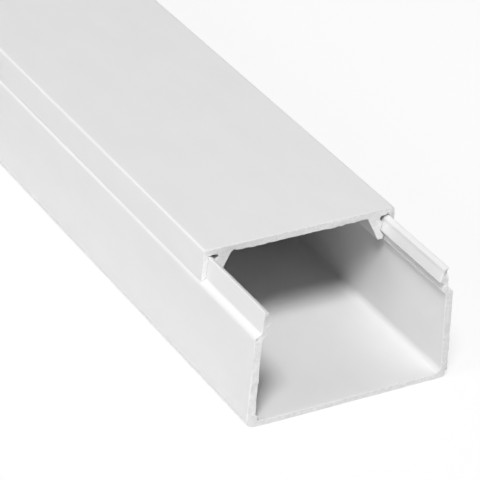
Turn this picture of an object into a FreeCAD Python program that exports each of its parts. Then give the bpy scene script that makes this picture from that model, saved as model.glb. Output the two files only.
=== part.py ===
"""Cord cover raceway: a U-shaped base channel and the cover that snaps onto it.

Millimetres. The length runs along Y, with the cut end that faces the viewer at -Y. The width runs along X.
The base lies on its back: its back face is at z = 0 and the cover is on top.
Each piece is one cross-section, drawn in the X-Z plane and pushed along Y.
"""
import FreeCAD
import Part

import math
import os

# Length, and how far the cover is slid back from the base's front end
RACEWAY_LENGTH = 400.0
COVER_SETBACK = 20.0

# Overall section
BASE_WIDTH = 41.5  # across the outer wall faces, where they would meet the back
TOTAL_HEIGHT = 25.0

# Base channel: floor and walls
FLOOR_THICKNESS = 1.1
WALL_THICKNESS = 1.45
WALL_TOE_IN = 0.65  # how far the outer wall face leans inward between the back and the ledge
BOTTOM_CORNER_RADIUS = 1.7
INNER_CORNER_RADIUS = 1.2

# Base channel: sloping ledge under the cover's skirt
LEDGE_DROP = 6.75  # from the cover's top face down to the ledge's outer edge
LEDGE_WIDTH = 1.15
LEDGE_RISE = 0.9
LEDGE_EDGE_RADIUS = 0.9
LEDGE_ROOT_RADIUS = 0.5

# Base channel: neck above the ledge, with a snap lip along its top
NECK_THICKNESS = 0.85  # just under the lip
NECK_SWELL = 0.3  # how much thicker the neck is where the wall steps outward
NECK_LEAN = 0.3  # how far the neck leans inward between the ledge and the lip's top
LIP_TOP_CLEARANCE = 0.1  # between the lip's top and the cover's underside
LIP_TOP_WIDTH = 1.0
LIP_TOP_OUTER_RADIUS = 0.18
LIP_TOP_INNER_RADIUS = 0.4
LIP_NOSE_REACH = 1.85  # from the neck's outer face to the lip's nose
LIP_NOSE_DROP = 2.95
LIP_NOSE_RADIUS = 0.25
LIP_HOLLOW_RISE = 1.85  # from the nose up to the hollow in the lip's inner face
LIP_HOLLOW_SETBACK = 0.55
LIP_HOLLOW_RADIUS = 0.6
UNDERCUT_RISE = 0.75  # how far the lip's underside rises from the neck to the nose
UNDERCUT_ROOT_RADIUS = 0.2
JOG_DROP = 1.3  # from the undercut down to where the inner wall face starts to step outward
JOG_HEIGHT = 0.9
JOG_RADIUS = 0.35

# Cover: panel and skirts
PANEL_THICKNESS = 1.35
TOP_EDGE_RADIUS = 0.5
SKIRT_INSET = 0.25  # how far the base's wall stands proud of the skirt's foot
SKIRT_FLARE = 0.2  # how far the skirt's foot stands out beyond the panel's edge
SKIRT_NECK_CLEARANCE = 0.06
SKIRT_FOOT_CLEARANCE = 0.03  # between the skirt's foot and the ledge
SKIRT_FOOT_RADIUS = 0.12
SKIRT_FOOT_INNER_RADIUS = 0.4
SKIRT_ROOT_RADIUS = 0.2

# Cover: hooked legs
LEG_ROOT_INSET = 2.95  # from the lip's nose inward to the leg's inner face at the panel
LEG_ROOT_THICKNESS = 1.95
LEG_INNER_ROOT_RADIUS = 0.6
LEG_OUTER_ROOT_RADIUS = 0.5
LEG_BULGE_RISE = 1.6  # from the lip's nose up to the leg's thickest part
LEG_BULGE_CLEARANCE = 0.06  # between the leg's thickest part and the lip's inner face
LEG_BULGE_RADIUS = 0.35
HOOK_SHOULDER_CLEARANCE = 0.11  # from the lip's nose inward to the hook's shoulder
HOOK_SHOULDER_RISE = 0.05
HOOK_SHOULDER_RADIUS = 0.3
HOOK_TIP_CLEARANCE = 0.08  # between the hook's tip and the neck's inner face
HOOK_TIP_DROP = 0.25  # from the undercut's root down to the hook's tip
HOOK_TIP_RADIUS = 0.25
LEG_FOOT_DROP = 0.85  # from the hook's tip down to the rounded foot
LEG_FOOT_BEVEL = 0.3  # from the hook's tip inward to the foot, so that the foot clears the swelling neck
LEG_FOOT_WIDTH = 1.15
LEG_FOOT_RADIUS = 0.35


def underside_z():
    """Height of the cover panel's underside."""
    return TOTAL_HEIGHT - PANEL_THICKNESS


def lip_top_z():
    return underside_z() - LIP_TOP_CLEARANCE


def ledge_edge():
    """The outer edge of the sloping ledge, at the top of the wall's outer face."""
    return BASE_WIDTH / 2 - WALL_TOE_IN, TOTAL_HEIGHT - LEDGE_DROP


def ledge_z(x):
    """Height of the sloping ledge at x."""
    edge_x, edge_z = ledge_edge()
    return edge_z + LEDGE_RISE * (edge_x - x) / LEDGE_WIDTH


def neck_root():
    """The inner end of the ledge, where the neck rises from it."""
    edge_x, edge_z = ledge_edge()
    return edge_x - LEDGE_WIDTH, edge_z + LEDGE_RISE


def neck_outer_x(z):
    """The neck's outer face at height z."""
    root_x, root_z = neck_root()
    return root_x - NECK_LEAN * (z - root_z) / (lip_top_z() - root_z)


def lip_nose():
    """The point of the lip that stands furthest inward."""
    nose_z = lip_top_z() - LIP_NOSE_DROP
    return neck_outer_x(nose_z) - LIP_NOSE_REACH, nose_z


def lip_face_x(z):
    """The lip's slanting inner face at height z, between its nose and the hollow above."""
    nose_x, nose_z = lip_nose()
    return nose_x + LIP_HOLLOW_SETBACK * (z - nose_z) / LIP_HOLLOW_RISE


def undercut_root():
    """Where the lip's underside meets the neck's inner face."""
    nose_x, nose_z = lip_nose()
    root_z = nose_z - UNDERCUT_RISE
    return neck_outer_x(root_z) - NECK_THICKNESS, root_z


def wall_inner_x(z):
    """The wall's inner face at height z."""
    edge_x, edge_z = ledge_edge()
    return BASE_WIDTH / 2 - WALL_TOE_IN * z / edge_z - WALL_THICKNESS


def base_half():
    """Corners (x, z, rounding) of the base's right half, from the outer bottom corner to the inner one."""
    edge_x, edge_z = ledge_edge()
    root_x, root_z = neck_root()
    top_z = lip_top_z()
    nose_x, nose_z = lip_nose()
    hollow_z = nose_z + LIP_HOLLOW_RISE
    undercut_x, undercut_z = undercut_root()
    jog_high_z = undercut_z - JOG_DROP
    jog_low_z = jog_high_z - JOG_HEIGHT
    return [
        (BASE_WIDTH / 2, 0.0, BOTTOM_CORNER_RADIUS),
        (edge_x, edge_z, LEDGE_EDGE_RADIUS),
        (root_x, root_z, LEDGE_ROOT_RADIUS),
        (neck_outer_x(top_z), top_z, LIP_TOP_OUTER_RADIUS),
        (neck_outer_x(top_z) - LIP_TOP_WIDTH, top_z, LIP_TOP_INNER_RADIUS),
        (lip_face_x(hollow_z), hollow_z, LIP_HOLLOW_RADIUS),
        (nose_x, nose_z, LIP_NOSE_RADIUS),
        (undercut_x, undercut_z, UNDERCUT_ROOT_RADIUS),
        (neck_outer_x(jog_high_z) - NECK_THICKNESS - NECK_SWELL, jog_high_z, JOG_RADIUS),
        (wall_inner_x(jog_low_z), jog_low_z, JOG_RADIUS),
        (wall_inner_x(FLOOR_THICKNESS), FLOOR_THICKNESS, INNER_CORNER_RADIUS),
    ]


def cover_half():
    """Corners (x, z, rounding) of the cover's right half, from the top edge to the leg's inner root."""
    edge_x, edge_z = ledge_edge()
    foot_outer_x = edge_x - SKIRT_INSET
    foot_inner_x = neck_root()[0] + SKIRT_NECK_CLEARANCE
    panel_z = underside_z()
    nose_x, nose_z = lip_nose()
    undercut_x, undercut_z = undercut_root()
    leg_x = nose_x - LEG_ROOT_INSET
    tip_x = undercut_x - HOOK_TIP_CLEARANCE
    tip_z = undercut_z - HOOK_TIP_DROP
    foot_x = tip_x - LEG_FOOT_BEVEL
    foot_z = tip_z - LEG_FOOT_DROP
    bulge_z = nose_z + LEG_BULGE_RISE
    bulge_x = lip_face_x(bulge_z) - LEG_BULGE_CLEARANCE
    return [
        (foot_outer_x - SKIRT_FLARE, TOTAL_HEIGHT, TOP_EDGE_RADIUS),
        (foot_outer_x, ledge_z(foot_outer_x) + SKIRT_FOOT_CLEARANCE, SKIRT_FOOT_RADIUS),
        (foot_inner_x, ledge_z(foot_inner_x) + SKIRT_FOOT_CLEARANCE, SKIRT_FOOT_INNER_RADIUS),
        (neck_outer_x(panel_z) + SKIRT_NECK_CLEARANCE, panel_z, SKIRT_ROOT_RADIUS),
        (leg_x + LEG_ROOT_THICKNESS, panel_z, LEG_OUTER_ROOT_RADIUS),
        (bulge_x, bulge_z, LEG_BULGE_RADIUS),
        (nose_x - HOOK_SHOULDER_CLEARANCE, nose_z + HOOK_SHOULDER_RISE, HOOK_SHOULDER_RADIUS),
        (tip_x, tip_z, HOOK_TIP_RADIUS),
        (foot_x, foot_z, LEG_FOOT_RADIUS),
        (foot_x - LEG_FOOT_WIDTH, foot_z, LEG_FOOT_RADIUS),
        (leg_x, panel_z, LEG_INNER_ROOT_RADIUS),
    ]


def both_halves(half):
    """The closed loop of corners made of a right half and its mirror image."""
    mirrored = [(-x, z, rounding) for x, z, rounding in reversed(half)]
    return half + mirrored


def rounded_corner(before, corner, after, rounding):
    """The three points of the arc that rounds a corner: its start, its middle and its end."""
    toward_before = (before - corner).normalize()
    toward_after = (after - corner).normalize()
    half_angle = toward_before.getAngle(toward_after) / 2
    setback = rounding / math.tan(half_angle)
    middle_distance = rounding / math.sin(half_angle) - rounding
    inward = (toward_before + toward_after).normalize()
    start = corner + toward_before * setback
    middle = corner + inward * middle_distance
    end = corner + toward_after * setback
    return start, middle, end


def section_face(corners, y):
    """A flat face at y, bounded by the corners' straight lines and rounding arcs."""
    points = [FreeCAD.Vector(x, y, z) for x, z, rounding in corners]
    arcs = []
    for index, (x, z, rounding) in enumerate(corners):
        after = points[(index + 1) % len(points)]
        arcs.append(rounded_corner(points[index - 1], points[index], after, rounding))
    edges = []
    for index, (start, middle, end) in enumerate(arcs):
        next_start = arcs[(index + 1) % len(arcs)][0]
        edges.append(Part.Arc(start, middle, end).toShape())
        edges.append(Part.LineSegment(end, next_start).toShape())
    return Part.Face(Part.Wire(edges))


def extruded_piece(half, front_y):
    """A full length of the section whose front end is at front_y."""
    face = section_face(both_halves(half), front_y)
    return face.extrude(FreeCAD.Vector(0, RACEWAY_LENGTH, 0))


def base_channel():
    return extruded_piece(base_half(), -RACEWAY_LENGTH / 2)


def snap_cover():
    return extruded_piece(cover_half(), -RACEWAY_LENGTH / 2 + COVER_SETBACK)


def main():
    os.makedirs("parts", exist_ok=True)
    base_channel().exportStep("parts/base_channel.step")
    snap_cover().exportStep("parts/snap_cover.step")


main()
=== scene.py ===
"""Looks of the cord cover raceway: satin white PVC with sawn ends, on a pale floor in soft light."""

import math

import bmesh
import bpy
from mathutils import Matrix, Vector, geometry, noise

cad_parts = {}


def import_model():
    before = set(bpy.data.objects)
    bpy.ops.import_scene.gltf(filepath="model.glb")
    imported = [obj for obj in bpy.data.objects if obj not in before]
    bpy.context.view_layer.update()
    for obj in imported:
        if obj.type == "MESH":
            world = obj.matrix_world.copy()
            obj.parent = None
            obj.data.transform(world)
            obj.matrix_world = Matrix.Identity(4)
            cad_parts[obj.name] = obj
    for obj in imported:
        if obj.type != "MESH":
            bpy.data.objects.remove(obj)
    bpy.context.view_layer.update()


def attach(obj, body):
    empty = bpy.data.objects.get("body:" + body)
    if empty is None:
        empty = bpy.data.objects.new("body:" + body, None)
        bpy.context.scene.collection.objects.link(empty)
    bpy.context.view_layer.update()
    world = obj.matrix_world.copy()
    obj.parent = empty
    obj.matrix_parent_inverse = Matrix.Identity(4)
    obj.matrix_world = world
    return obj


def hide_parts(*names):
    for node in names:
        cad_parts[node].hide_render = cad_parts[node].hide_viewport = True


MM = 0.001

# Camera, fitted to the photograph: millimetres and degrees
CAMERA_PLACE = (-228.06, -541.07, 270.81)
CAMERA_AZIMUTH = -30.83
CAMERA_ELEVATION = 30.25
CAMERA_ROLL = 3.68
CAMERA_LENS = 207.6
CAMERA_SENSOR = 36.0
CAMERA_NEAREST = 0.01  # metres
CAMERA_FURTHEST = 50.0  # metres

# Plastic: how light and how rough it is, on the skins and where sawn, and how much each varies
SKIN_TONE = 0.76
SKIN_TONE_CHANGE = 0.008
# Painted light: the sawn ends are paler than the skins to stand in for light from the front, which the
# lamps give them too little of
SAWN_TONE_WITH_PAINTED_LIGHT = 0.88
SAWN_TONE_CHANGE = 0.05
SKIN_ROUGHNESS = 0.42
SKIN_ROUGHNESS_CHANGE = 0.04
SAWN_ROUGHNESS = 0.75
SAWN_ROUGHNESS_CHANGE = 0.08
SAWN_FACING = (0.45, 0.75)  # how squarely a surface faces along the raceway, from skin to sawn

# Plastic: heights of the marks that are drawn by bump alone, in millimetres
DRAW_LINE_HEIGHT = 0.004
SAW_MARK_HEIGHT = 0.03

# Plastic: the noise behind its marks, as the size of a grain along x, y and z in metres
DRAW_LINE_GRAIN = (0.0006, 0.25, 0.0006)
MOTTLE_GRAIN = (0.006, 0.012, 0.006)
SAW_MARK_GRAIN = (0.0015, 0.0015, 0.00035)
CRUMB_GRAIN = (0.0007, 0.0007, 0.0007)
NOISE_SPAN = (0.3, 0.7)  # the part of the noise's values that is used

# Soft round lamps: name, azimuth, elevation, size in metres, power
LAMPS = (
    ("key_lamp", -38.0, 57.0, 0.6, 37.2),
    ("left_fill", -90.0, 28.0, 0.9, 12.4),
    ("back_fill", 110.0, 30.0, 0.9, 2.5),
)
LAMP_AIM = (0.0, -170.0, 10.0)  # millimetres
LAMP_DISTANCE = 2.0  # metres
WORLD_LIGHT = 0.01  # strength of the surroundings' own light

# Floor: its reach in metres, the light it gives back, and its lift to white where seen
FLOOR_REACH = 6.0
FLOOR_BOUNCE = 0.75
FLOOR_LIFT = 0.75

# Section of the two pieces, as in the solids: millimetres
LENGTH = 400.0
COVER_SETBACK = 20.0
BASE_WIDTH = 41.5
TOTAL_HEIGHT = 25.0

# Base channel: floor and walls
FLOOR_THICKNESS = 1.1
WALL_THICKNESS = 1.45
WALL_TOE_IN = 0.65
BOTTOM_CORNER_RADIUS = 1.7
INNER_CORNER_RADIUS = 1.2

# Base channel: sloping ledge under the cover's skirt
LEDGE_DROP = 6.75
LEDGE_WIDTH = 1.15
LEDGE_RISE = 0.9
LEDGE_EDGE_RADIUS = 0.9
LEDGE_ROOT_RADIUS = 0.5

# Base channel: neck above the ledge, with a snap lip along its top
NECK_THICKNESS = 0.85
NECK_SWELL = 0.3
NECK_LEAN = 0.3
LIP_TOP_CLEARANCE = 0.1
LIP_TOP_WIDTH = 1.0
LIP_TOP_SLOPE = 0.4  # a worn lead-in on the lip's top, which the solids leave level
LIP_TOP_OUTER_RADIUS = 0.18
LIP_TOP_INNER_RADIUS = 0.4
LIP_NOSE_REACH = 1.85
LIP_NOSE_DROP = 2.95
LIP_NOSE_RADIUS = 0.25
LIP_HOLLOW_RISE = 1.85
LIP_HOLLOW_SETBACK = 0.55
LIP_HOLLOW_RADIUS = 0.6
UNDERCUT_RISE = 0.75
UNDERCUT_ROOT_RADIUS = 0.2
JOG_DROP = 1.3
JOG_HEIGHT = 0.9
JOG_RADIUS = 0.35

# Cover: panel and skirts
PANEL_THICKNESS = 1.35
TOP_EDGE_RADIUS = 0.5
SKIRT_INSET = 0.25
SKIRT_FLARE = 0.2
SKIRT_NECK_CLEARANCE = 0.06
SKIRT_FOOT_CLEARANCE = 0.03
SKIRT_FOOT_RADIUS = 0.12
SKIRT_FOOT_INNER_RADIUS = 0.4
SKIRT_ROOT_RADIUS = 0.2

# Cover: hooked legs
LEG_ROOT_INSET = 2.95
LEG_ROOT_THICKNESS = 1.95
LEG_INNER_ROOT_RADIUS = 0.6
LEG_OUTER_ROOT_RADIUS = 0.5
LEG_BULGE_RISE = 1.6
LEG_BULGE_CLEARANCE = 0.06
LEG_BULGE_RADIUS = 0.35
HOOK_SHOULDER_CLEARANCE = 0.11
HOOK_SHOULDER_RISE = 0.05
HOOK_SHOULDER_RADIUS = 0.3
HOOK_TIP_CLEARANCE = 0.08
HOOK_TIP_DROP = 0.25
HOOK_TIP_RADIUS = 0.25
LEG_FOOT_DROP = 0.85
LEG_FOOT_BEVEL = 0.3
LEG_FOOT_WIDTH = 1.15
LEG_FOOT_RADIUS = 0.35

# How finely the skins are drawn: lengths in millimetres, the angle in degrees
ARC_STEPS = 8
STRAIGHT_STEP = 0.3
END_STATIONS = (0.0, 0.05, 0.2, 0.45, 0.9, 1.8, 4.0)
LONG_STEP = 24.0
SHARP_ANGLE = 35.0

# Grid of points on a sawn face: millimetres
CUT_FACE_STEP = 0.2
CUT_FACE_OFFSET = (0.31, 0.43)  # of the grid from the face's corner, in steps
ROW_STAGGER = 0.5  # of every second row, in steps
JOIN_DISTANCE = 1e-6  # within it, two points are one
TRIANGLES_INSIDE = 1  # Blender's number for triangles inside the given edges

# Seeds of the noise: one for each piece, and what other marks and the back end add to it
BASE_SEED = 3.0
COVER_SEED = 11.0
WEAR_SEED = 5.0
BURR_SEED = 9.0
BACK_END_SEED = 20.0

# Edges of the sawn ends: millimetres
EDGE_BEVEL = 0.05  # with the wear below, less than the smallest rounding of the sections
EDGE_WEAR = 0.05  # how far the sharp edges are worn back at most
WEAR_LENGTH = 0.5
WEAR_PITCH = 1.3

# Faces of the sawn ends: millimetres
SAW_DEPTH = 0.1  # how uneven the sawn face is
SAW_PITCH = 0.9  # of the saw lines
SAW_LINE_CHANGE = 0.15  # how fast the saw lines change along the width, against up the height
BROAD_PITCH = 4.0  # of the broader waves under the saw lines
BROAD_SHARE = 0.4  # of the unevenness that the broader waves make up
SAW_LEAN = 0.12  # how far the faces on the left lean back toward the outside, for each millimetre
LEAN_START = 18.9  # how far left of the section's middle the lean begins
CUT_FADE = 1.2  # how far behind the face its unevenness dies out

# Chips in the front ends, as the photograph shows them: x, z, radius, depth
BASE_CHIPS = (
    (-19.7, 18.0, 0.35, 0.6),
    (-18.35, 1.6, 0.4, 1.2),
    (-17.0, 21.3, 1.9, 0.5),
    (-19.0, 8.2, 1.3, 0.14),
    (-20.0, 12.6, 0.8, 0.1),
    (-20.6, 6.4, 0.9, 0.1),
    (19.3, 8.05, 0.3, 0.5),
    (19.15, 18.9, 0.35, 0.4),
    (18.75, 22.2, 0.9, 0.6),
    (20.35, 1.3, 0.5, 0.3),
    (20.6, 2.6, 0.5, 0.3),
    (20.65, 3.8, 0.5, 0.3),
    (20.6, 5.0, 0.5, 0.25),
    (20.6, 9.5, 1.4, 0.12),
    (10.6, 1.0, 0.35, 0.4),
)
COVER_CHIPS = (
    (18.4, 23.8, 0.35, 0.4),
    (-13.5, 23.6, 0.4, 0.4),
    (14.2, 23.1, 0.5, 0.25),
    (-17.9, 23.5, 0.3, 0.15),
)

# Burrs that the saw left on the front ends' inner edges: x, z, radius, reach
BASE_BURRS = (
    (-19.1, 6.5, 6.0, 0.28),
    (-18.8, 1.5, 1.7, 0.9),
    (19.2, 1.6, 1.2, 0.15),
    (19.0, 12.0, 4.0, 0.12),
)
COVER_BURRS = (
    (-18.8, 21.4, 3.0, 0.05),
    (-8.0, 23.65, 6.0, 0.25),
    (1.0, 23.65, 4.5, 0.18),
    (8.5, 23.65, 4.5, 0.28),
)
BURR_LENGTH = 0.9
BURR_PITCH = 0.9
BURR_MEAN = 0.55  # how much of its reach a burr stands out, midway between its highs and lows
BURR_CHANGE = 0.9  # how much of its reach lies between its highs and lows
DUCT_MIDDLE = (0.0, 12.0)  # x, z: burrs stand only on edges that face it


def underside_z():
    """Height of the cover panel's underside."""
    return TOTAL_HEIGHT - PANEL_THICKNESS


def lip_top_z():
    return underside_z() - LIP_TOP_CLEARANCE


def ledge_edge():
    """The outer edge of the sloping ledge, at the top of the wall's outer face."""
    return BASE_WIDTH / 2 - WALL_TOE_IN, TOTAL_HEIGHT - LEDGE_DROP


def ledge_z(x):
    """Height of the sloping ledge at x."""
    edge_x, edge_z = ledge_edge()
    return edge_z + LEDGE_RISE * (edge_x - x) / LEDGE_WIDTH


def neck_root():
    """The inner end of the ledge, where the neck rises from it."""
    edge_x, edge_z = ledge_edge()
    return edge_x - LEDGE_WIDTH, edge_z + LEDGE_RISE


def neck_outer_x(z):
    """The neck's outer face at height z."""
    root_x, root_z = neck_root()
    return root_x - NECK_LEAN * (z - root_z) / (lip_top_z() - root_z)


def lip_nose():
    """The point of the lip that stands furthest inward."""
    nose_z = lip_top_z() - LIP_NOSE_DROP
    return neck_outer_x(nose_z) - LIP_NOSE_REACH, nose_z


def lip_face_x(z):
    """The lip's slanting inner face at height z, between its nose and the hollow above."""
    nose_x, nose_z = lip_nose()
    return nose_x + LIP_HOLLOW_SETBACK * (z - nose_z) / LIP_HOLLOW_RISE


def undercut_root():
    """Where the lip's underside meets the neck's inner face."""
    root_z = lip_nose()[1] - UNDERCUT_RISE
    return neck_outer_x(root_z) - NECK_THICKNESS, root_z


def wall_inner_x(z):
    """The wall's inner face at height z."""
    edge_z = ledge_edge()[1]
    return BASE_WIDTH / 2 - WALL_TOE_IN * z / edge_z - WALL_THICKNESS


def base_half():
    """Corners (x, z, rounding) of the base's right half, from its outer to its inner bottom corner."""
    edge_x, edge_z = ledge_edge()
    root_x, root_z = neck_root()
    top_z = lip_top_z()
    nose_x, nose_z = lip_nose()
    hollow_z = nose_z + LIP_HOLLOW_RISE
    undercut_x, undercut_z = undercut_root()
    jog_high_z = undercut_z - JOG_DROP
    jog_low_z = jog_high_z - JOG_HEIGHT
    return [
        (BASE_WIDTH / 2, 0.0, BOTTOM_CORNER_RADIUS),
        (edge_x, edge_z, LEDGE_EDGE_RADIUS),
        (root_x, root_z, LEDGE_ROOT_RADIUS),
        (neck_outer_x(top_z), top_z, LIP_TOP_OUTER_RADIUS),
        (neck_outer_x(top_z) - LIP_TOP_WIDTH, top_z - LIP_TOP_SLOPE, LIP_TOP_INNER_RADIUS),
        (lip_face_x(hollow_z), hollow_z, LIP_HOLLOW_RADIUS),
        (nose_x, nose_z, LIP_NOSE_RADIUS),
        (undercut_x, undercut_z, UNDERCUT_ROOT_RADIUS),
        (neck_outer_x(jog_high_z) - NECK_THICKNESS - NECK_SWELL, jog_high_z, JOG_RADIUS),
        (wall_inner_x(jog_low_z), jog_low_z, JOG_RADIUS),
        (wall_inner_x(FLOOR_THICKNESS), FLOOR_THICKNESS, INNER_CORNER_RADIUS),
    ]


def cover_half():
    """Corners (x, z, rounding) of the cover's right half, from its top edge to the leg's root."""
    foot_outer_x = ledge_edge()[0] - SKIRT_INSET
    foot_inner_x = neck_root()[0] + SKIRT_NECK_CLEARANCE
    panel_z = underside_z()
    nose_x, nose_z = lip_nose()
    undercut_x, undercut_z = undercut_root()
    leg_x = nose_x - LEG_ROOT_INSET
    tip_x = undercut_x - HOOK_TIP_CLEARANCE
    tip_z = undercut_z - HOOK_TIP_DROP
    foot_x = tip_x - LEG_FOOT_BEVEL
    foot_z = tip_z - LEG_FOOT_DROP
    bulge_z = nose_z + LEG_BULGE_RISE
    bulge_x = lip_face_x(bulge_z) - LEG_BULGE_CLEARANCE
    return [
        (foot_outer_x - SKIRT_FLARE, TOTAL_HEIGHT, TOP_EDGE_RADIUS),
        (foot_outer_x, ledge_z(foot_outer_x) + SKIRT_FOOT_CLEARANCE, SKIRT_FOOT_RADIUS),
        (foot_inner_x, ledge_z(foot_inner_x) + SKIRT_FOOT_CLEARANCE, SKIRT_FOOT_INNER_RADIUS),
        (neck_outer_x(panel_z) + SKIRT_NECK_CLEARANCE, panel_z, SKIRT_ROOT_RADIUS),
        (leg_x + LEG_ROOT_THICKNESS, panel_z, LEG_OUTER_ROOT_RADIUS),
        (bulge_x, bulge_z, LEG_BULGE_RADIUS),
        (nose_x - HOOK_SHOULDER_CLEARANCE, nose_z + HOOK_SHOULDER_RISE, HOOK_SHOULDER_RADIUS),
        (tip_x, tip_z, HOOK_TIP_RADIUS),
        (foot_x, foot_z, LEG_FOOT_RADIUS),
        (foot_x - LEG_FOOT_WIDTH, foot_z, LEG_FOOT_RADIUS),
        (leg_x, panel_z, LEG_INNER_ROOT_RADIUS),
    ]


def arc_points(before, corner, after, rounding):
    """Points along the arc that rounds a corner."""
    toward_before = (before - corner).normalized()
    toward_after = (after - corner).normalized()
    half_angle = toward_before.angle(toward_after) / 2
    inward = (toward_before + toward_after).normalized()
    centre = corner + inward * rounding / math.sin(half_angle)
    start = corner + toward_before * rounding / math.tan(half_angle) - centre
    end = corner + toward_after * rounding / math.tan(half_angle) - centre
    turn = math.atan2(start.x * end.y - start.y * end.x, start.dot(end))
    points = []
    for step in range(ARC_STEPS + 1):
        points.append(centre + Matrix.Rotation(turn * step / ARC_STEPS, 2) @ start)
    return points


def outline(half):
    """The closed outline of a half section and its mirror image, counter-clockwise."""
    corners = half + [(-x, z, rounding) for x, z, rounding in reversed(half)]
    spots = [Vector((x, z)) for x, z, rounding in corners]
    arcs = []
    for index, (x, z, rounding) in enumerate(corners):
        after = spots[(index + 1) % len(spots)]
        arcs.append(arc_points(spots[index - 1], spots[index], after, rounding))
    points = []
    for index, arc in enumerate(arcs):
        points += arc
        start = arc[-1]
        end = arcs[(index + 1) % len(arcs)][0]
        pieces = max(1, round((end - start).length / STRAIGHT_STEP))
        points += [start.lerp(end, step / pieces) for step in range(1, pieces)]
    turning = 0.0
    for index, point in enumerate(points):
        before = points[index - 1]
        turning += point.x * before.y - point.y * before.x
    return points if turning < 0 else list(reversed(points))


def inward_directions(points):
    """For each point of a counter-clockwise outline, the direction into the plastic."""
    directions = []
    for index in range(len(points)):
        along = points[(index + 1) % len(points)] - points[index - 1]
        directions.append(Vector((-along.y, along.x)).normalized())
    return directions


def stations():
    """Distances from the front end: close together at the sawn ends, even between them."""
    near = list(END_STATIONS)
    far = [LENGTH - place for place in reversed(END_STATIONS)]
    count = round((far[0] - near[-1]) / LONG_STEP)
    between = [near[-1] + (far[0] - near[-1]) * step / count for step in range(1, count)]
    return near + between + far


def unevenness(spot, pitch, seed):
    """Smooth noise between 0 and 1 at a spot of the section."""
    value = noise.noise(Vector((spot.x / pitch, spot.y / pitch, seed)))
    return min(1.0, max(0.0, 0.5 + value))


def cut_depth(spot, seed, chips):
    """How far the sawn face lies behind the flat end at a spot of the section."""
    lines = unevenness(Vector((spot.x * SAW_LINE_CHANGE, spot.y)), SAW_PITCH, seed)
    waves = unevenness(spot, BROAD_PITCH, seed)
    depth = SAW_DEPTH * ((1.0 - BROAD_SHARE) * lines + BROAD_SHARE * waves)
    depth += SAW_LEAN * max(0.0, -spot.x - LEAN_START)
    for x, z, radius, deep in chips:
        reach = (spot - Vector((x, z))).length / radius
        if reach < 1.0:
            depth += deep * (1.0 - reach * reach) ** 2
    return depth


def edge_shift(spot, distance, seed):
    """How far an edge point moves into the plastic, by its distance from the sawn end."""
    wear = EDGE_WEAR * unevenness(spot, WEAR_PITCH, seed + WEAR_SEED)
    shift = wear * max(0.0, 1.0 - distance / WEAR_LENGTH)
    if distance == 0.0:
        shift += EDGE_BEVEL
    return shift


def burr(spot, inward, distance, burrs, seed):
    """How far a burr stands out of the edge into the duct, by its distance from the sawn end."""
    to_duct = Vector(DUCT_MIDDLE) - spot
    if inward.dot(to_duct) > 0.0 or distance > BURR_LENGTH:
        return 0.0
    reach = 0.0
    for x, z, radius, most in burrs:
        away = (spot - Vector((x, z))).length / radius
        if away < 1.0:
            reach = max(reach, most * (1.0 - away * away))
    ragged = BURR_MEAN + BURR_CHANGE * (unevenness(spot, BURR_PITCH, seed + BURR_SEED) - 0.5)
    return reach * max(0.0, ragged) * (1.0 - distance / BURR_LENGTH)


def grid_spots(rim):
    """Spots on an even grid over the rim's whole width and height, every second row staggered."""
    low = Vector((min(p.x for p in rim), min(p.y for p in rim)))
    high = Vector((max(p.x for p in rim), max(p.y for p in rim)))
    across = int((high.x - low.x) / CUT_FACE_STEP)
    upward = int((high.y - low.y) / CUT_FACE_STEP)
    first_column, first_row = CUT_FACE_OFFSET
    grid = []
    for row in range(upward):
        stagger = ROW_STAGGER * (row % 2) + first_column
        for column in range(across):
            grid.append(low + Vector((column + stagger, row + first_row)) * CUT_FACE_STEP)
    return grid


def cut_face(rim):
    """Spots on an even grid inside the rim, and the triangles that join them and the rim."""
    grid = grid_spots(rim)
    ring = list(range(len(rim)))
    edges = [(index, (index + 1) % len(rim)) for index in ring]
    filled = geometry.delaunay_2d_cdt(rim + grid, edges, [ring], TRIANGLES_INSIDE, JOIN_DISTANCE)
    faces = [tuple(filled[3][corner][0] for corner in face) for face in filled[2]]
    used = sorted({corner for face in faces for corner in face if corner >= len(rim)})
    place = {corner: len(rim) + order for order, corner in enumerate(used)}
    spots = [grid[corner - len(rim)] for corner in used]
    return spots, [tuple(place.get(corner, corner) for corner in face) for face in faces]


def end_marks(at_front, chips, seed):
    """The chips and the noise's seed for the front end, or for the back end, which has no chips."""
    if at_front:
        return chips, seed
    return (), seed + BACK_END_SEED


def worn_rim(points, inward, place, chips, burrs, seed):
    """The worn outline at a place along the piece, and how far along each of its spots lies."""
    at_front = place < LENGTH / 2
    distance = place if at_front else LENGTH - place
    end_chips, end_seed = end_marks(at_front, chips, seed)
    rim = []
    alongs = []
    for point, direction in zip(points, inward):
        spot = point + direction * edge_shift(point, distance, end_seed)
        if at_front:
            spot = spot - direction * burr(point, direction, distance, burrs, end_seed)
        rim.append(spot)
        depth = cut_depth(point, end_seed, end_chips) * max(0.0, 1.0 - distance / CUT_FADE)
        alongs.append(place + depth if at_front else place - depth)
    return rim, alongs


def mesh_points(spots, alongs, front):
    """Points in metres at the section's spots and as far behind the front end as alongs says."""
    return [(spot.x * MM, (front + along) * MM, spot.y * MM) for spot, along in zip(spots, alongs)]


def side_faces(rings, count):
    """Faces with four corners between each ring of points and the next."""
    faces = []
    for ring in range(rings - 1):
        near = ring * count
        far = near + count
        for index in range(count):
            following = (index + 1) % count
            faces.append((near + index, near + following, far + following, far + index))
    return faces


def end_faces(triangles, count, rim_start, grid_start):
    """A sawn face's triangles, numbered as in the mesh: first the rim's points, then the grid's."""
    faces = []
    for triangle in triangles:
        faces.append(tuple(
            rim_start + corner if corner < count else grid_start + corner - count
            for corner in triangle
        ))
    return faces


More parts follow.
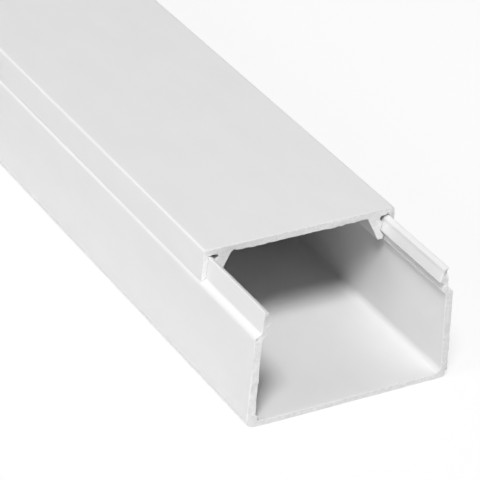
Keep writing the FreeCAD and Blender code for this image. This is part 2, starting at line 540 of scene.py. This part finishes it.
def skin(name, half, front, chips, burrs, seed, material):
    """A length of the section as one closed mesh with sawn ends, the front one at y = front."""
    points = outline(half)
    inward = inward_directions(points)
    count = len(points)
    verts = []
    rims = []
    for place in stations():
        rim, alongs = worn_rim(points, inward, place, chips, burrs, seed)
        verts += mesh_points(rim, alongs, front)
        rims.append(rim)
    faces = side_faces(len(rims), count)
    for ring in (0, len(rims) - 1):
        at_front = ring == 0
        end_chips, end_seed = end_marks(at_front, chips, seed)
        spots, triangles = cut_face(rims[ring])
        depths = [cut_depth(spot, end_seed, end_chips) for spot in spots]
        alongs = [depth if at_front else LENGTH - depth for depth in depths]
        faces += end_faces(triangles, count, ring * count, len(verts))
        verts += mesh_points(spots, alongs, front)
    return mesh_piece(name, verts, faces, material)


def mesh_piece(name, verts, faces, material):
    """A smooth object with crisp edges, made of the points and faces."""
    mesh = bpy.data.meshes.new(name)
    mesh.from_pydata(verts, [], faces)
    shape = bmesh.new()
    shape.from_mesh(mesh)
    bmesh.ops.recalc_face_normals(shape, faces=shape.faces)
    shape.to_mesh(mesh)
    shape.free()
    for polygon in mesh.polygons:
        polygon.use_smooth = True
    mesh.set_sharp_from_angle(angle=math.radians(SHARP_ANGLE))
    mesh.materials.append(material)
    piece = bpy.data.objects.new(name, mesh)
    bpy.context.scene.collection.objects.link(piece)
    return piece


def noise_node(nodes, links, place, grain, detail):
    """Noise in object coordinates, with grains of the given size along each axis."""
    mapping = nodes.new("ShaderNodeMapping")
    mapping.inputs["Scale"].default_value = tuple(1.0 / size for size in grain)
    links.new(place, mapping.inputs["Vector"])
    texture = nodes.new("ShaderNodeTexNoise")
    texture.inputs["Scale"].default_value = 1.0
    texture.inputs["Detail"].default_value = detail
    links.new(mapping.outputs["Vector"], texture.inputs["Vector"])
    return texture.outputs["Fac"]


def ranged(nodes, links, value, span, low, high):
    """A value, with the two ends of its span brought to low and high."""
    change = nodes.new("ShaderNodeMapRange")
    change.inputs["From Min"].default_value = span[0]
    change.inputs["From Max"].default_value = span[1]
    change.inputs["To Min"].default_value = low
    change.inputs["To Max"].default_value = high
    links.new(value, change.inputs["Value"])
    return change.outputs["Result"]


def varied(nodes, links, value, middle, change):
    """Noise, brought to the middle value and as far as the change to both sides of it."""
    return ranged(nodes, links, value, NOISE_SPAN, middle - change, middle + change)


def blended(nodes, links, factor, first, second):
    """The first value where the factor is 0, the second where it is 1."""
    blend = nodes.new("ShaderNodeMix")
    blend.data_type = "FLOAT"
    links.new(factor, blend.inputs["Factor"])
    links.new(first, blend.inputs["A"])
    links.new(second, blend.inputs["B"])
    return blend.outputs["Result"]


def sawn_mask(nodes, links, normal):
    """A value of 1 where the surface faces along the raceway, as the sawn ends do."""
    parts = nodes.new("ShaderNodeSeparateXYZ")
    links.new(normal, parts.inputs["Vector"])
    size = nodes.new("ShaderNodeMath")
    size.operation = "ABSOLUTE"
    links.new(parts.outputs["Y"], size.inputs[0])
    return ranged(nodes, links, size.outputs[0], SAWN_FACING, 0.0, 1.0)


def grey(nodes, links, value):
    """A grey that is as light as the value."""
    colour = nodes.new("ShaderNodeCombineColor")
    for channel in ("Red", "Green", "Blue"):
        links.new(value, colour.inputs[channel])
    return colour.outputs["Color"]


def plastic(name):
    """Satin PVC: faint draw lines and mottling along the skins, rougher where sawn, and paler there as
    painted light that stands in for light from the front.
    """
    material = bpy.data.materials.new(name)
    material.use_nodes = True
    nodes = material.node_tree.nodes
    links = material.node_tree.links
    shader = nodes["Principled BSDF"]
    coordinates = nodes.new("ShaderNodeTexCoord")
    place = coordinates.outputs["Object"]
    sawn = sawn_mask(nodes, links, coordinates.outputs["Normal"])
    draw_lines = noise_node(nodes, links, place, DRAW_LINE_GRAIN, detail=3.0)
    mottle = noise_node(nodes, links, place, MOTTLE_GRAIN, detail=2.0)
    saw_marks = noise_node(nodes, links, place, SAW_MARK_GRAIN, detail=3.0)
    crumbs = noise_node(nodes, links, place, CRUMB_GRAIN, detail=2.0)
    skin_tone = varied(nodes, links, mottle, SKIN_TONE, SKIN_TONE_CHANGE)
    # painted light: a paler tone on the sawn ends stands in for light from the front
    sawn_tone_with_painted_light = varied(nodes, links, crumbs, SAWN_TONE_WITH_PAINTED_LIGHT, SAWN_TONE_CHANGE)
    tone = blended(nodes, links, sawn, skin_tone, sawn_tone_with_painted_light)
    links.new(grey(nodes, links, tone), shader.inputs["Base Color"])
    skin_gloss = varied(nodes, links, draw_lines, SKIN_ROUGHNESS, SKIN_ROUGHNESS_CHANGE)
    sawn_gloss = varied(nodes, links, crumbs, SAWN_ROUGHNESS, SAWN_ROUGHNESS_CHANGE)
    links.new(blended(nodes, links, sawn, skin_gloss, sawn_gloss), shader.inputs["Roughness"])
    skin_height = ranged(nodes, links, draw_lines, NOISE_SPAN, 0.0, DRAW_LINE_HEIGHT * MM)
    sawn_height = ranged(nodes, links, saw_marks, NOISE_SPAN, 0.0, SAW_MARK_HEIGHT * MM)
    bump = nodes.new("ShaderNodeBump")
    bump.inputs["Distance"].default_value = 1.0
    links.new(blended(nodes, links, sawn, skin_height, sawn_height), bump.inputs["Height"])
    links.new(bump.outputs["Normal"], shader.inputs["Normal"])
    return material


def seen_directly(nodes, links):
    """A value of 1 for rays that come straight from the camera, or off gloss or through glass."""
    path = nodes.new("ShaderNodeLightPath")
    total = path.outputs["Is Camera Ray"]
    for output in ("Is Glossy Ray", "Is Transmission Ray"):
        larger = nodes.new("ShaderNodeMath")
        larger.operation = "MAXIMUM"
        links.new(total, larger.inputs[0])
        links.new(path.outputs[output], larger.inputs[1])
        total = larger.outputs[0]
    return total


def chosen_where_seen(nodes, links, unseen, seen):
    """The second shader where it is seen directly, the first one for all other light."""
    chosen = nodes.new("ShaderNodeMixShader")
    links.new(seen_directly(nodes, links), chosen.inputs["Fac"])
    links.new(unseen, chosen.inputs[1])
    links.new(seen, chosen.inputs[2])
    return chosen.outputs["Shader"]


def diffuse(nodes, tone):
    """A matt grey shader, as light as the tone."""
    shader = nodes.new("ShaderNodeBsdfDiffuse")
    shader.inputs["Color"].default_value = (tone, tone, tone, 1.0)
    return shader.outputs["BSDF"]


def floor_material():
    """A pale matt floor. Seen directly it is lifted to white, and keeps a faint shadow."""
    material = bpy.data.materials.new("studio_floor")
    material.use_nodes = True
    nodes = material.node_tree.nodes
    links = material.node_tree.links
    nodes.remove(nodes["Principled BSDF"])
    white = nodes.new("ShaderNodeEmission")
    white.inputs["Strength"].default_value = 1.0
    lifted = nodes.new("ShaderNodeMixShader")
    lifted.inputs["Fac"].default_value = FLOOR_LIFT
    links.new(diffuse(nodes, 1.0), lifted.inputs[1])
    links.new(white.outputs["Emission"], lifted.inputs[2])
    bounce = diffuse(nodes, FLOOR_BOUNCE)
    surface = chosen_where_seen(nodes, links, bounce, lifted.outputs["Shader"])
    links.new(surface, nodes["Material Output"].inputs["Surface"])
    return material


def floor():
    """The level floor that the raceway lies on."""
    mesh = bpy.data.meshes.new("studio_floor")
    reach = FLOOR_REACH
    corners = [(-reach, -reach, 0), (reach, -reach, 0), (reach, reach, 0), (-reach, reach, 0)]
    mesh.from_pydata(corners, [], [(0, 1, 2, 3)])
    mesh.materials.append(floor_material())
    piece = bpy.data.objects.new("studio_floor", mesh)
    bpy.context.scene.collection.objects.link(piece)


def direction_at(azimuth, elevation):
    """The direction away from the raceway at the given angles, in degrees."""
    around = math.radians(azimuth)
    above = math.radians(elevation)
    return Vector((
        math.sin(around) * math.cos(above),
        -math.cos(around) * math.cos(above),
        math.sin(above),
    ))


def disk_lamp(name, azimuth, elevation, size, power):
    """A soft round lamp that faces the raceway's front end from the given direction."""
    data = bpy.data.lights.new(name, "AREA")
    data.shape = "DISK"
    data.size = size
    data.energy = power
    toward = direction_at(azimuth, elevation)
    lamp = bpy.data.objects.new(name, data)
    lamp.location = Vector(LAMP_AIM) * MM + toward * LAMP_DISTANCE
    lamp.rotation_euler = (-toward).to_track_quat("-Z", "Y").to_euler()
    bpy.context.scene.collection.objects.link(lamp)


def white_surroundings(shader, strength):
    """Sets a background shader to white at the given strength."""
    shader.inputs["Color"].default_value = (1.0, 1.0, 1.0, 1.0)
    shader.inputs["Strength"].default_value = strength
    return shader.outputs["Background"]


def world():
    """White surroundings that add only a little light of their own."""
    scene_world = bpy.data.worlds.new("studio")
    bpy.context.scene.world = scene_world
    scene_world.use_nodes = True
    nodes = scene_world.node_tree.nodes
    links = scene_world.node_tree.links
    seen = white_surroundings(nodes["Background"], 1.0)
    dim = white_surroundings(nodes.new("ShaderNodeBackground"), WORLD_LIGHT)
    surface = chosen_where_seen(nodes, links, dim, seen)
    links.new(surface, nodes["World Output"].inputs["Surface"])


def camera():
    """The camera at the photograph's place, angle and roll."""
    data = bpy.data.cameras.new("photo_camera")
    data.sensor_width = CAMERA_SENSOR
    data.lens = CAMERA_LENS
    data.clip_start = CAMERA_NEAREST
    data.clip_end = CAMERA_FURTHEST
    back = direction_at(CAMERA_AZIMUTH, CAMERA_ELEVATION)
    azimuth = math.radians(CAMERA_AZIMUTH)
    level_right = Vector((math.cos(azimuth), math.sin(azimuth), 0.0))
    level_up = back.cross(level_right)
    roll = math.radians(CAMERA_ROLL)
    right = level_right * math.cos(roll) + level_up * math.sin(roll)
    up = level_up * math.cos(roll) - level_right * math.sin(roll)
    turn = Matrix((right, up, back)).transposed()
    eye = bpy.data.objects.new("photo_camera", data)
    eye.matrix_world = Matrix.Translation(Vector(CAMERA_PLACE) * MM) @ turn.to_4x4()
    bpy.context.scene.collection.objects.link(eye)
    bpy.context.scene.camera = eye


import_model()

base_front = -LENGTH / 2
base_look = plastic("base_plastic")
base = skin("base_skin", base_half(), base_front, BASE_CHIPS, BASE_BURRS, BASE_SEED, base_look)
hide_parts("base_channel")
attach(base, "base")

cover_front = base_front + COVER_SETBACK
cover_look = plastic("cover_plastic")
cover = skin(
    "cover_skin", cover_half(), cover_front, COVER_CHIPS, COVER_BURRS, COVER_SEED, cover_look
)
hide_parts("snap_cover")
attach(cover, "cover")

floor()
world()
for name, azimuth, elevation, size, power in LAMPS:
    disk_lamp(name, azimuth, elevation, size, power)
camera()
bpy.context.scene.view_settings.view_transform = "Standard"
